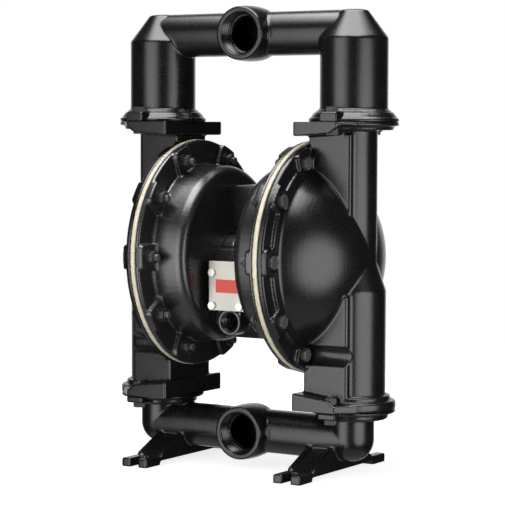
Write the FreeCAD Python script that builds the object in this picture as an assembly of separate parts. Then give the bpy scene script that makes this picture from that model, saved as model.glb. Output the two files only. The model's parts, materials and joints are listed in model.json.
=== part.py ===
import FreeCAD, Part
import math
import os

# An air-operated double-diaphragm pump in millimetres. X runs along the diaphragm rod,
# the ports open towards -Y, and Z is up. The origin lies on the floor under the centre.

# Overall layout
tower_x = 156.4            # centre plane to the axis of each valve tower
rod_z = 295.1              # floor to the diaphragm rod
split_low = 91.0           # joint face between inlet manifold and fluid caps
split_high = 480.0         # joint face between fluid caps and outlet manifold
inlet_z = 48.3             # inlet pipe axis
outlet_z = 601.4           # outlet pipe axis
clamp_x = 97.6             # centre plane to the middle of each clamped diaphragm rim

# Clearances and edges
gap = 0.3                  # round soft and loose pieces
fit = 0.05                 # radial, of running fits and threads
over = 1.0                 # how far a cutting tool runs past a face
near = 0.01                # tolerance for picking edges
fine_edge = 0.8
ring_edge = 1.2
cast_edge = 1.5
bar_edge = 2.0
block_edge = 3.0
body_edge = 4.0

# Diaphragm rim and chamber flanges
rim_thickness = 6.8
rim_radius = 160.0
land_step = 2.0            # from the chamber's mouth out to the clamped ring
flange_inset = 0.8         # cast flanges stay this much inside the rim
bolt_inset = 20.0          # rim to the circle of the chamber bolts
bolt_angle = 34.8          # from the horizontal to the second chamber bolt
bolt_angle_far = 67.4      # from the horizontal to the third
pad_half = 17.5            # half width of the pad round each chamber bolt
pad_corner = 9.0

# Fluid caps
cap_flange = 10.5          # thickness under the bolt heads
cap_rim = 9.0              # thickness at the outer edge
cap_rim_round = 4.0
cap_step = 13.5            # thickness of the raised ring and the bolt pads
cap_step_inset = 20.2
cap_pad_inset = 1.5        # flange edge to the ends of the bolt pads
head_pocket = 12.8
dome_inset = 15.0          # rim radius less the radius of the dome's sphere
dome_center = 42.5         # centre plane to the centre of the dome's sphere
dome_blend = 6.0
cast_wall = 7.0
tower_radius = 32.5
cage_radius = 45.3
cage_top = 252.0
cage_cone = 38.0
cage_window = 22.0         # half width of the opening from ball cage to chamber
duct_top_x = 106.7
duct_top_end = 172.0
duct_top_half = 36.0
duct_low_x = 109.2
duct_low_end = 175.6
duct_low_half = 50.0
duct_low_top = 246.8
duct_corner = 4.0
duct_blend = 5.0
wrench_groove = 13.8

# Joint bars, collars and rings at the manifolds
bar_x = 102.8
bar_end = 170.0
bar_half = 72.0
bar_high = 19.4
bar_high_end = 15.8
bar_low = 24.3
bar_low_end = 17.8
bar_knee = 157.5
bar_nose_high = 7.6
bar_nose_low = 8.5
joint_bolt_y = 59.0
ear_half = 13.4
ear_high = 13.5
ear_low = 9.0
ear_root = 6.0             # how far an ear runs into its leg
ring_high_radius = 61.3
ring_low_radius = 59.4
ring_thick = 5.4
ring_low_thick = 12.6
ring_low_under = 4.2
collar_high_radius = 54.2
collar_high = 16.5
collar_top_radius = 50.0
collar_wide_radius = 57.2
collar_wide = 9.6              # height of the collar's widest tier
collar_tier = 3.2              # height of its narrowest tier
collar_under = 11.0
collar_low_radius = 51.7
collar_low = 19.7
collar_low_under_radius = 49.5
collar_low_under = 13.1

# Manifolds
pipe_radius = 30.4
pipe_bore = 24.0
leg_radius = 46.3
leg_top = 594.5
leg_roof = 20.0            # metal between the ball cage and the leg's top
shoulder_radius = 19.0
crown_radius = 12.5
crown_drop = 1.6
inlet_leg_radius = 30.5
port_radius = 36.7
port_belly = 38.4
port_belly_y = 16.0        # widest place of the port boss, in front of the pipe axis
port_shoulder = 8.0
port_face = 45.0
port_back = 33.0
port_round = 7.0
port_round_radius = 22.8
port_bore = 28.3
port_depth = 20.0
port_chamfer = 1.6

# Feet
foot_x = 123.4
foot_half = 21.1
foot_reach = 119.0
foot_pad = 35.5
foot_height = 12.0
foot_relief = 5.5
foot_slot = 13.0
foot_slot_depth = 22.0
foot_web_half = 24.3
foot_web_top = 40.0
foot_web_toe = 4.0
foot_web_rise = 3.0
foot_web_rib = 7.0
foot_web_sink = 3.0
foot_web_lead = 6.0

# Ball checks
ball_radius = 32.0
ball_lift = 14.0
ball_play = 0.9
seat_radius = 42.0
seat_height = 12.0
seat_bore = 21.5
seat_mouth = 28.0
cage_rib = 6.0
rib_foot = 2.0
rib_reach = 14.0
rib_cap = 10.0
seal_cord = 2.0

# Air caps
air_flange = 6.5
air_boss = 12.2            # thickness under the chamber nuts
air_face = 37.0            # centre plane to the cap's flat face
air_wall_inset = 34.0      # rim to the dish wall
air_wall_taper = 2.5
air_corner = 15.0
air_floor = 8.0
air_mouth = 8.0            # depth of the cone from dish wall to clamped ring

# Centre body and its gaskets
gasket = 0.8
body_top = 391.5
body_back = 60.0
body_slope_y = 3.0
body_slope_z = 320.0
body_shelf_y = 38.0
body_shelf_z = 303.6
body_front = 46.0
body_brow_z = 289.0
body_chin_z = 200.0
body_floor = 179.5
body_floor_front = 22.0
body_floor_back = 42.0
hub_radius = 29.9
hub_length = 7.5
hub_lip = 2.5              # metal in front of the rod seal
rod_room = 1.5             # clearance round the rod between its bushes
cap_screw_top = 19.5       # from the body's top
cap_screw_low = 37.6       # from the body's floor
cap_screw_back = 16.0      # from the body's back
cap_screw_front = 12.0     # behind the plane of the rod
cap_screw_chin = 18.0      # from the body's front
cap_screw_grip = 19.0
tap_spare = 3.0            # tapped holes run this much past their screws

# Main air valve, in front of the body
valve_z = 255.0
valve_half_x = 27.0
valve_half_z = 33.4
valve_depth = 23.0
end_cap_half_x = 28.6
end_cap_half_z = 34.0
end_cap_thick = 4.2
end_cap_chamfer = 0.6
end_screw_x = 22.4
end_screw_rise = 18.0
end_screw_drop = 27.2
end_screw_grip = 15.0
label_width = 37.0
label_height = 18.2
label_thick = 0.5
label_shift_x = 1.5
bore_valve_z = 251.0
sleeve_radius = 17.0
sleeve_bore = 12.0
sleeve_end = 18.0
sleeve_port = 3.0
sleeve_port_y = 10.0
sleeve_port_pitch = 16.0
piston_radius = 19.0
piston_length = 6.0
spool_travel = 7.0
spool_neck = 7.0
spool_land = 8.0
spool_necks = 3

# Air inlet, exhaust and small fittings
inlet_boss_radius = 18.5
inlet_boss_z = 205.0
inlet_boss_face = 68.0
inlet_bore = 13.0
inlet_bore_depth = 20.0
inlet_chamfer = 1.4
inlet_throat = 10.5
inlet_end = 15.0
air_way = 6.0
air_way_y = 26.0
exhaust_z = 338.0
exhaust_bore = 18.0
exhaust_depth = 30.0
muffler_radius = 27.0
muffler_length = 66.0
muffler_rib = 3.0
muffler_pitch = 7.5
muffler_wall = 5.0
muffler_end = 6.0
muffler_seat = 8.0         # part of the exhaust hole behind the muffler's stem
plug_x = 4.0
plug_z = 373.6
plug_flats = 14.0
plug_head = 5.8
plug_length = 12.0
fitting_x = -11.0
fitting_z = 312.0
fitting_seat = 18.0        # plane of the rod to the face under the fitting
fitting_radius = 6.4
fitting_hex = 5.0
fitting_nose = 4.0
fitting_nose_radius = 5.5
fitting_hole = 3.4
fitting_depth = 13.0       # plane of the rod to the bottom of the fitting's hole
fitting_room = 2.0         # spot face round the fitting
fitting_stand = 9.0
fitting_stand_top = 8.0
fitting_stand_root = 20.0

# Rod, washers and diaphragm
rod_radius = 12.5
rod_stroke = 20.0
bush_radius = 17.0
bush_length = 24.0
seal_radius = 15.8
washer_radius = 70.0
washer_thick = 8.0
washer_bevel = 16.0
washer_edge = 2.5
hub_disc = 5.0
membrane = 4.0
membrane_gap = 6.5
membrane_root = 3.0
convolution = 13.0
stud_radius = 8.0
stud_depth = 30.0

# Pilot valve
pilot_y = 35.0
pilot_z = 262.0
pilot_sleeve_radius = 9.0
pilot_bore = 6.0
pilot_pin = 4.0
pilot_travel = 5.0
pilot_half = 24.0
pilot_land = 12.0
pilot_port = 2.0
pilot_port_x = 14.0
pilot_guide_start = 30.0
pilot_guide_nose = 2.0

# Fasteners
m10 = 5.0
m10_flats = 16.0
m10_head = 6.8
m10_nut = 8.0
m10_hole = 0.5             # radial clearance of through holes
m6 = 3.0
m6_flats = 10.0
m6_head = 4.0
m16_flats = 24.0
m16_head = 10.0
crown_slope = 0.6          # rise over run of the turned corners on heads and nuts
nut_pocket = 11.0
nut_room = 11.6            # radius kept clear round the chamber nuts
chamber_nut = 9.5
nut_flange = 11.0
nut_flange_thick = 1.8
bolt_spot = 10.5
nut_seat_low = 12.0
nut_seat_high = 9.5
stud_end = 5.5

# Places that follow from the sizes above
air_side = clamp_x - rim_thickness / 2
fluid_side = clamp_x + rim_thickness / 2
cap_rim_x = fluid_side + cap_rim
cap_step_x = fluid_side + cap_step
flange_radius = rim_radius - flange_inset
bolt_circle = rim_radius - bolt_inset
air_wall_radius = rim_radius - air_wall_inset
dome_radius = rim_radius - dome_inset
chamber_mouth = math.sqrt((dome_radius - cast_wall) ** 2 - (fluid_side - dome_center) ** 2)
rim_land = chamber_mouth + land_step
body_half = air_face - gasket
spot_face = fluid_side + cap_flange
nut_face = air_side - air_boss
washer_in = clamp_x - hub_disc / 2 - washer_thick
washer_out = clamp_x + hub_disc / 2 + washer_thick
pin_tip = washer_in - rod_stroke + pilot_travel - gap
seat_low_top = split_low + seat_height / 2
seat_high_top = split_high + seat_height / 2
chamber_bore = cage_radius - cast_wall
tower_bore = tower_radius - cast_wall
leg_bore = leg_radius - cast_wall
pipe_top = pipe_radius + outlet_z
valve_back = body_front + gasket
valve_front = valve_back + valve_depth
cap_back = valve_front + gasket
cap_front = cap_back + end_cap_thick
piston_room = piston_length + spool_travel + over
pitches = (-bolt_angle_far, -bolt_angle, 0, bolt_angle, bolt_angle_far)
chamber_angles = [side + pitch for side in (0, 180) for pitch in pitches]

X_AXIS = FreeCAD.Vector(1, 0, 0)
Y_AXIS = FreeCAD.Vector(0, 1, 0)
Z_AXIS = FreeCAD.Vector(0, 0, 1)
ORIGIN = FreeCAD.Vector(0, 0, 0)


def point(x, y, z):
    return FreeCAD.Vector(x, y, z)


def rod(radius, start, direction, length):
    return Part.makeCylinder(radius, length, start, direction)


def block(x0, x1, y0, y1, z0, z1):
    return Part.makeBox(x1 - x0, y1 - y0, z1 - z0, point(x0, y0, z0))


def soft_block(x0, x1, y0, y1, z0, z1):
    """A cast block with all its edges rounded."""
    solid = block(x0, x1, y0, y1, z0, z1)
    return solid.makeFillet(cast_edge, solid.Edges)


def join(shapes):
    return shapes[0].multiFuse(shapes[1:]).removeSplitter()


def prism(points, direction):
    wire = Part.makePolygon([FreeCAD.Vector(*p) for p in points + points[:1]])
    return Part.Face(wire).extrude(direction)


def turned(edges, axis_point, axis):
    solid = Part.Face(Part.Wire(edges)).revolve(axis_point, axis, 360)
    if solid.Volume < 0:
        solid.reverse()
    return solid


def chain(points):
    return [Part.LineSegment(a, b).toShape() for a, b in zip(points, points[1:])]


def outline(points):
    return chain(points + points[:1])


def turned_x(profile):
    """Turn a closed outline of (x, radius) about the rod axis."""
    points = [point(x, 0, rod_z + r) for x, r in profile]
    return turned(outline(points), point(0, 0, rod_z), X_AXIS)


def turned_z(profile, x):
    """Turn a closed outline of (radius, z) about a vertical axis at x."""
    points = [point(x + r, 0, z) for r, z in profile]
    return turned(outline(points), point(x, 0, 0), Z_AXIS)


def turned_y(profile, x, z):
    """Turn a closed outline of (y, radius) about an axis along Y."""
    points = [point(x, y, z + r) for y, r in profile]
    return turned(outline(points), point(x, 0, z), Y_AXIS)


def mirrored(shape):
    return shape.mirror(ORIGIN, X_AXIS)


def pair(shapes):
    """The given shapes and their mirror images."""
    return shapes + [mirrored(s) for s in shapes]


def both_sides(shapes):
    return Part.makeCompound(pair(shapes))


def placed(shape, start, direction):
    copy = shape.copy()
    copy.Placement = FreeCAD.Placement(start, FreeCAD.Rotation(Z_AXIS, direction))
    return copy


def hexagon(flats, height):
    """A hex prism whose top corners are turned off."""
    corner = flats / math.sqrt(3)
    drop = (corner - flats / 2) * crown_slope
    turns = [k * math.pi / 3 for k in range(6)]
    points = [(corner * math.cos(t), corner * math.sin(t), 0) for t in turns]
    limit = turned_z([(0, 0), (corner + over, 0), (corner + over, height - drop), (corner, height - drop),
                      (flats / 2, height), (0, height)], 0)
    return prism(points, point(0, 0, height)).common(limit)


def bolt(radius, flats, head, length):
    """A hex bolt: head above z = 0, shank below it."""
    tip = Part.makeCone(radius - fine_edge, radius, fine_edge, point(0, 0, -length), Z_AXIS)
    shank = rod(radius, point(0, 0, fine_edge - length), Z_AXIS, length - fine_edge)
    return join([hexagon(flats, head), shank, tip])


def nut(radius, flats, height):
    return hexagon(flats, height).cut(rod(radius + fit, point(0, 0, -over), Z_AXIS, height + 2 * over))


def at_angle(radius, angle, x):
    turn = math.radians(angle)
    return point(x, -radius * math.cos(turn), rod_z + radius * math.sin(turn))


def chamber_points(x):
    return [at_angle(bolt_circle, angle, x) for angle in chamber_angles]


def bolt_pads(inner, outer, x0, x1):
    """Straight-sided pads round the chamber bolts, between two radii."""
    limit = rod(outer, point(x0, 0, rod_z), X_AXIS, x1 - x0)
    pads = []
    for angle in chamber_angles:
        pad = block(x0, x1, -outer - over, -inner, -pad_half, pad_half)
        corners = [e for e in pad.Edges if e.BoundBox.XLength > near and e.BoundBox.YMax < -outer]
        pad = pad.makeFillet(pad_corner, corners)
        pad.rotate(ORIGIN, X_AXIS, -angle)
        pad.translate(point(0, 0, rod_z))
        pads.append(pad.common(limit))
    return pads


def joint_points(z):
    return [point(tower_x, side * joint_bolt_y, z) for side in (-1, 1)]


# Ball checks


def cage_ribs(bore, top):
    """Four guide ribs round a ball, with inward ends that stop it."""
    start = top + rib_foot
    stop = ball_center(top) + ball_lift + math.sqrt(ball_radius ** 2 - rib_reach ** 2) + gap
    half = cage_rib / 2
    ribs = []
    for quarter in range(4):
        rib = join([block(ball_radius + ball_play, bore + over, -half, half, start, stop + rib_cap),
                    block(rib_reach, bore + over, -half, half, stop, stop + rib_cap)])
        rib.rotate(ORIGIN, Z_AXIS, 45 + 90 * quarter)
        rib.translate(point(tower_x, 0, 0))
        ribs.append(rib)
    return ribs


def ball_center(top):
    """Height of a resting ball's centre above its seat's conical mouth."""
    contact = ball_radius * math.sqrt(0.5)
    return top - (seat_mouth - contact) + contact + gap


def ball(top):
    return Part.makeSphere(ball_radius, point(tower_x, 0, ball_center(top)))


def seat(top):
    low = top - seat_height
    mouth = top - (seat_mouth - seat_bore)
    rim = seat_radius - fit
    return turned_z([(seat_bore, low), (rim, low), (rim, top), (seat_mouth, top), (seat_bore, mouth)],
                    tower_x)


def seat_seal(split):
    return Part.makeTorus(seat_radius + 2 * seal_cord, seal_cord, point(tower_x, 0, split), Z_AXIS)


def seat_room(split):
    """What a joint face loses to its seat and its seal."""
    pocket = rod(seat_radius, point(tower_x, 0, split - seat_height / 2), Z_AXIS, seat_height)
    groove = Part.makeTorus(seat_radius + 2 * seal_cord, seal_cord + gap, point(tower_x, 0, split), Z_AXIS)
    return [pocket, groove]


# Fluid caps


def dome_ball(radius):
    """A sphere whose poles lie on the rod axis."""
    shape = Part.makeSphere(radius, ORIGIN, X_AXIS)
    shape.translate(point(dome_center, 0, rod_z))
    return shape


def dome_solid():
    """Flange and dome, with a concave blend between them."""
    step_r = flange_radius - cap_step_inset
    flange = turned_x([(fluid_side, 0), (fluid_side, flange_radius - fine_edge),
                       (fluid_side + fine_edge, flange_radius), (cap_rim_x, flange_radius),
                       (cap_rim_x, step_r), (cap_step_x - cast_edge, step_r),
                       (cap_step_x, step_r - cast_edge), (cap_step_x, 0)])
    brink = [e for e in flange.Edges if abs(e.BoundBox.XMin - cap_rim_x) < near and e.BoundBox.XLength < near
             and e.BoundBox.ZLength > 2 * flange_radius - over]
    flange = flange.makeFillet(cap_rim_round, brink)
    front = block(fluid_side, dome_center + dome_radius + over, -rim_radius, rim_radius,
                  rod_z - rim_radius, rod_z + rim_radius)
    whole = join([flange, dome_ball(dome_radius).common(front)])
    root = [e for e in whole.Edges if abs(e.BoundBox.XMin - cap_step_x) < near and e.BoundBox.XLength < near
            and e.BoundBox.ZLength < 2 * (step_r - 2 * cast_edge)]
    return whole.makeFillet(dome_blend, root)


def duct_walls(x0, x1, half, z0, z1):
    """A flat-sided duct that runs out of the tower, with rounded upright corners."""
    walls = block(x0, x1, -half, half, z0, z1)
    corners = [e for e in walls.Edges if e.BoundBox.ZLength > over and e.BoundBox.Center.x > x1 - over]
    return walls.makeFillet(duct_corner, corners)


def tower_solid():
    """Ball cage, cone and upper tube in one turned shape, with the two ducts blended in."""
    tower = turned_z([(0, split_low), (cage_radius, split_low), (cage_radius, cage_top),
                      (tower_radius, cage_top + cage_cone), (tower_radius, split_high), (0, split_high)],
                     tower_x)
    upper = duct_walls(duct_top_x, duct_top_end, duct_top_half, rod_z + cast_wall, split_high - bar_high_end)
    lower = duct_walls(duct_low_x, duct_low_end, duct_low_half, split_low + bar_low_end, duct_low_top)
    whole = join([tower, upper, lower])
    creases = []
    for edge in whole.Edges:
        middle = edge.BoundBox.Center
        upright = edge.BoundBox.ZLength > cage_radius and edge.BoundBox.XLength < near
        reach = math.hypot(middle.x - tower_x, middle.y)
        on_tube = min(abs(reach - tower_radius), abs(reach - cage_radius)) < near
        on_duct = min(abs(middle.x - duct_top_end), abs(middle.x - duct_low_end)) < near
        if upright and on_tube and on_duct:
            creases.append(edge)
    return whole.makeFillet(duct_blend, creases)


def bar_high_solid():
    low = split_high - bar_high
    return prism([(bar_x, -bar_half, low), (bar_knee, -bar_half, split_high - bar_high_end),
                  (bar_end, -bar_half, split_high - bar_nose_high), (bar_end, -bar_half, split_high),
                  (bar_x, -bar_half, split_high)], point(0, 2 * bar_half, 0))


def bar_low_solid():
    return prism([(bar_x, -bar_half, split_low), (bar_end, -bar_half, split_low),
                  (bar_end, -bar_half, split_low + bar_nose_low),
                  (bar_knee, -bar_half, split_low + bar_low_end),
                  (bar_x, -bar_half, split_low + bar_low)], point(0, 2 * bar_half, 0))


def softened(shape):
    """Round the long edges of a bar and leave its joint face sharp."""
    keep = [e for e in shape.Edges
            if abs(e.BoundBox.ZMin - split_high) > near and abs(e.BoundBox.ZMax - split_low) > near]
    return shape.makeFillet(bar_edge, keep)


def disc(radius, z0, z1, edge):
    """A flat ring blank on the tower axis, whose two rims are chamfered."""
    return turned_z([(0, z0), (radius - edge, z0), (radius, z0 + edge), (radius, z1 - edge),
                     (radius - edge, z1), (0, z1)], tower_x)


def joint_web(radius, z0, z1):
    """A web that runs straight from the outer corners of a bar to its ring."""
    corner_x = bar_end - ring_edge
    corner_y = bar_half - ring_edge
    reach = math.hypot(corner_x - tower_x, corner_y)
    turn = math.atan2(corner_y, corner_x - tower_x) - math.acos(radius / reach)
    x = tower_x + radius * math.cos(turn)
    y = radius * math.sin(turn)
    return prism([(tower_x, 0, z0), (corner_x, -corner_y, z0), (x, -y, z0), (x, y, z0),
                  (corner_x, corner_y, z0)], point(0, 0, z1 - z0))


def cap_casting():
    """The outside of a fluid cap."""
    rings = [disc(ring_high_radius, split_high - ring_thick, split_high, ring_edge),
             disc(collar_high_radius, split_high - collar_under, split_high - over, ring_edge),
             disc(ring_low_radius, split_low, split_low + ring_low_thick, bar_edge),
             disc(collar_low_radius, split_low + over, split_low + collar_low, ring_edge)]
    outward = block(bar_x + bar_edge, tower_x + rim_radius, -rim_radius, rim_radius, 0, split_high)
    pads = bolt_pads(bolt_circle - head_pocket, flange_radius - cap_pad_inset, fluid_side, cap_step_x)
    return join([dome_solid(), tower_solid(), softened(bar_high_solid()), softened(bar_low_solid())]
                + [ring.common(outward) for ring in rings] + pads
                + [joint_web(ring_low_radius - ring_edge, split_low, split_low + ring_low_thick - bar_edge),
                   joint_web(ring_high_radius - ring_edge, split_high - ring_thick + ring_edge, split_high)])


def cap_cores():
    """The inside of a fluid cap: diaphragm chamber, ball cage and the two ducts."""
    behind = block(dome_center - dome_radius - over, fluid_side, -dome_radius, dome_radius,
                   rod_z - dome_radius, rod_z + dome_radius)
    chamber = dome_ball(dome_radius - cast_wall).cut(behind)
    duct_high = block(duct_top_x + cast_wall, tower_x, cast_wall - duct_top_half, duct_top_half - cast_wall,
                      rod_z, split_high - bar_high - cast_wall)
    duct_low = block(duct_low_x + cast_wall, tower_x, -cage_window, cage_window, seat_low_top + over, rod_z)
    cage = rod(chamber_bore, point(tower_x, 0, seat_low_top - over), Z_AXIS, cage_top - seat_low_top + over)
    cone = Part.makeCone(chamber_bore, tower_bore, cage_cone, point(tower_x, 0, cage_top), Z_AXIS)
    tube = rod(tower_bore, point(tower_x, 0, cage_top), Z_AXIS, split_high - cage_top)
    return [chamber, duct_high, duct_low, cage, cone, tube]


def wrench_grooves():
    """Round-ended grooves in the lower duct, in line with the lowest chamber bolts."""
    length = duct_low_end + cage_radius - spot_face
    angles = (-bolt_angle_far, 180 + bolt_angle_far)
    return [rod(wrench_groove, at_angle(bolt_circle, a, spot_face), X_AXIS, length) for a in angles]


def cap_holes():
    """Bolt holes, spot faces and nut seats of a fluid cap."""
    cuts = []
    for p in chamber_points(fluid_side - over):
        cuts.append(rod(m10 + m10_hole, p, X_AXIS, cap_step + dome_radius))
    for p in chamber_points(spot_face):
        cuts.append(rod(head_pocket, p, X_AXIS, m10_head + head_pocket))
    for p in joint_points(split_low - over):
        cuts.append(rod(m10 + m10_hole, p, Z_AXIS, bar_low + 2 * over))
    duct = block(0, bar_end, -duct_low_half, duct_low_half, split_low, rod_z)
    for p in joint_points(split_low + nut_seat_low):
        cuts.append(rod(nut_pocket, p, Z_AXIS, bar_low).cut(duct))
    for p in joint_points(split_high - bar_high - over):
        cuts.append(rod(m10 + m10_hole, p, Z_AXIS, bar_high + 2 * over))
    for p in joint_points(split_high - nut_seat_high):
        cuts.append(placed(rod(nut_pocket, ORIGIN, Z_AXIS, bar_high), p, Z_AXIS * -1))
    return cuts


def fluid_cap():
    shell = cap_casting().cut(cap_cores()).cut(wrench_grooves())
    core = rod(cage_radius - over, point(tower_x, 0, split_low), Z_AXIS, cage_top)
    shell = join([shell] + [rib.common(core) for rib in cage_ribs(chamber_bore, seat_low_top)])
    behind = block(dome_center, fluid_side, -rim_radius, rim_radius, rod_z - rim_radius, rod_z + rim_radius)
    return shell.cut(seat_room(split_low) + seat_room(split_high) + [behind] + cap_holes())


# Manifolds


def port_boss(z):
    """Rounded swelling of a pipe round its threaded port."""
    top = z + port_radius
    path = [point(0, -port_face, z), point(0, -port_face, top - fine_edge),
            point(0, fine_edge - port_face, top)]
    shoulder = point(0, port_shoulder, top)
    back = point(0, port_back, z)
    edges = chain(path)
    edges.append(Part.Arc(path[-1], point(0, -port_belly_y, z + port_belly), shoulder).toShape())
    edges.append(Part.Arc(shoulder, point(0, port_back - port_round, z + port_round_radius), back).toShape())
    edges.append(Part.LineSegment(back, path[0]).toShape())
    return turned(edges, point(0, 0, z), Y_AXIS)


def port_tools(z):
    start = point(0, -port_face, z)
    mouth = Part.makeCone(port_bore + port_chamfer, port_bore, port_chamfer, start, Y_AXIS)
    thread = rod(port_bore, start, Y_AXIS, port_depth)
    well = rod(pipe_bore, start, Y_AXIS, port_face + pipe_bore / 2)
    return [mouth, thread, well]


def pipe(radius, z):
    return rod(radius, point(-tower_x, 0, z), X_AXIS, 2 * tower_x)


def joint_ear(side, root, z0, z1):
    y0, y1 = sorted((side * bar_half, side * (root - ear_root)))
    return soft_block(tower_x - ear_half, tower_x + ear_half, y0, y1, z0, z1)


def outlet_leg():
    """Right-hand leg of the outlet manifold and the holes that it gets."""
    low = split_high
    leg = turned_z([(0, low), (leg_radius, low), (leg_radius, leg_top - cast_edge),
                    (leg_radius - fine_edge, leg_top), (shoulder_radius, pipe_top - crown_drop),
                    (crown_radius, pipe_top), (0, pipe_top)], tower_x)
    solids = [leg, disc(collar_top_radius, low, low + collar_high, ring_edge),
              disc(collar_high_radius, low, low + collar_high - collar_tier, ring_edge),
              disc(collar_wide_radius, low, low + collar_wide, ring_edge),
              disc(ring_high_radius, low, low + ring_thick, ring_edge)]
    solids += [joint_ear(side, leg_radius, low, low + ear_high) for side in (-1, 1)]
    tools = [rod(leg_bore, point(tower_x, 0, low - over), Z_AXIS, leg_top - leg_roof - low + over),
             rod(pipe_bore, point(tower_x, 0, low), Z_AXIS, outlet_z - low),
             Part.makeSphere(pipe_bore, point(tower_x, 0, outlet_z))]
    tools += [rod(bolt_spot, p, Z_AXIS, collar_high) for p in joint_points(low + ear_high)]
    tools += [rod(m10 + m10_hole, p, Z_AXIS, ear_high + 2 * over) for p in joint_points(low - over)]
    return solids, tools


def outlet_manifold():
    solids, tools = outlet_leg()
    casting = join([pipe(pipe_radius, outlet_z), port_boss(outlet_z)] + pair(solids))
    casting = casting.cut([pipe(pipe_bore, outlet_z)] + port_tools(outlet_z) + pair(tools))
    core = rod(leg_radius - over, point(tower_x, 0, split_high), Z_AXIS, leg_top - split_high)
    ribs = [rib.common(core) for rib in cage_ribs(leg_bore, seat_high_top)]
    return join([casting] + pair(ribs)).cut(pair(seat_room(split_high)))


def inlet_leg():
    """Right-hand leg and foot of the inlet manifold and the holes that they get."""
    top = split_low
    base = point(tower_x, 0, inlet_z)
    solids = [rod(inlet_leg_radius, base, Z_AXIS, top - inlet_z), Part.makeSphere(inlet_leg_radius, base),
              disc(ring_low_radius, top - ring_low_under, top, ring_edge),
              disc(collar_low_under_radius, top - collar_low_under, top - over / 2, bar_edge), foot()]
    solids += [joint_ear(side, inlet_leg_radius, top - ear_low, top) for side in (-1, 1)]
    tools = [rod(pipe_bore, base, Z_AXIS, top - inlet_z + over), Part.makeSphere(pipe_bore, base)]
    tools += [rod(m10 + m10_hole, p, Z_AXIS, ear_low + 2 * over) for p in joint_points(top - ear_low - over)]
    return solids, tools + seat_room(top)


def inlet_manifold():
    solids, tools = inlet_leg()
    casting = join([pipe(pipe_radius, inlet_z), port_boss(inlet_z)] + pair(solids))
    return casting.cut([pipe(pipe_bore, inlet_z)] + port_tools(inlet_z) + pair(tools))


def foot_end(side):
    """A flat pad with a slot that is open at its outer end."""
    y0, y1 = sorted((side * (foot_reach - foot_pad), side * foot_reach))
    pad = block(foot_x - foot_half, foot_x + foot_half, y0, y1, 0, foot_height)
    rims = [e for e in pad.Edges if e.BoundBox.ZMin > foot_height - near or e.BoundBox.ZLength > over]
    slot_end = foot_reach - foot_slot_depth
    half = foot_slot / 2
    y0, y1 = sorted((side * slot_end, side * (foot_reach + over)))
    slot = rod(half, point(foot_x, side * slot_end, -over), Z_AXIS, foot_height + 2 * over)
    slot = slot.fuse(block(foot_x - half, foot_x + half, y0, y1, -over, foot_height + over))
    return pad.makeFillet(bar_edge, rims).cut(slot)


def foot_web():
    """The sloped web from the pads up to the pipe, with a sunk panel on each slope."""
    x0 = foot_x - foot_half
    x1 = foot_x + foot_half
    inner = foot_reach - foot_pad
    toe_y = inner - foot_web_toe
    toe_z = foot_height + foot_web_rise
    web = prism([(x0, -inner - over, foot_relief), (x0, inner + over, foot_relief), (x0, toe_y, toe_z),
                 (x0, foot_web_half, foot_web_top), (x0, -foot_web_half, foot_web_top),
                 (x0, -toe_y, toe_z)], point(2 * foot_half, 0, 0))
    slope = math.atan2(foot_web_top - toe_z, toe_y - foot_web_half)
    sink = block(x0 + foot_web_rib, x1 - foot_web_rib, 0, 2 * inner, -foot_web_sink, foot_web_top)
    sink.rotate(ORIGIN, X_AXIS, -math.degrees(slope))
    sink.translate(point(0, foot_web_half - foot_web_lead, foot_web_top + foot_web_lead * math.tan(slope)))
    return web.cut([sink, sink.mirror(ORIGIN, Y_AXIS)])


def foot():
    room = rod(pipe_bore, point(foot_x - foot_half - over, 0, inlet_z), X_AXIS, 2 * (foot_half + over))
    return join([foot_web(), foot_end(-1), foot_end(1)]).cut(room)


# Air caps


def dish(offset, corner, face, open_x):
    """A turned dish whose wall lies inside the outer wall by the offset."""
    start = air_wall_radius - offset
    end = start - air_wall_taper
    bend = corner * math.sqrt(0.5)
    arc_mid = point(face + corner - bend, 0, rod_z + end - corner + bend)
    arc_end = point(face, 0, rod_z + end - corner)
    path = [point(face, 0, rod_z), point(open_x, 0, rod_z), point(open_x, 0, rod_z + start),
            point(face + corner, 0, rod_z + end)]
    edges = chain(path)
    edges.append(Part.Arc(path[-1], arc_mid, arc_end).toShape())
    edges.append(Part.LineSegment(arc_end, path[0]).toShape())
    return turned(edges, point(0, 0, rod_z), X_AXIS)


def air_cap_pads():
    """Pads on the flange that the chamber nuts bear on, with softened rims."""
    pads = []
    for pad in bolt_pads(air_wall_radius - cast_wall / 2, flange_radius, nut_face, air_side):
        rims = [e for e in pad.Edges if e.BoundBox.XMax < nut_face + near]
        pads.append(pad.makeFillet(cast_edge, rims))
    return pads


def center_holes():
    """What passes from the centre body through a gasket and an air cap."""
    return [rod(hub_radius + fit, point(0, 0, rod_z), X_AXIS, clamp_x),
            rod(pilot_sleeve_radius + fit, point(0, pilot_y, pilot_z), X_AXIS, clamp_x)] + [
            rod(m10 + m10_hole, point(0, y, z), X_AXIS, clamp_x) for y, z in cap_screw_places()]


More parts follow.
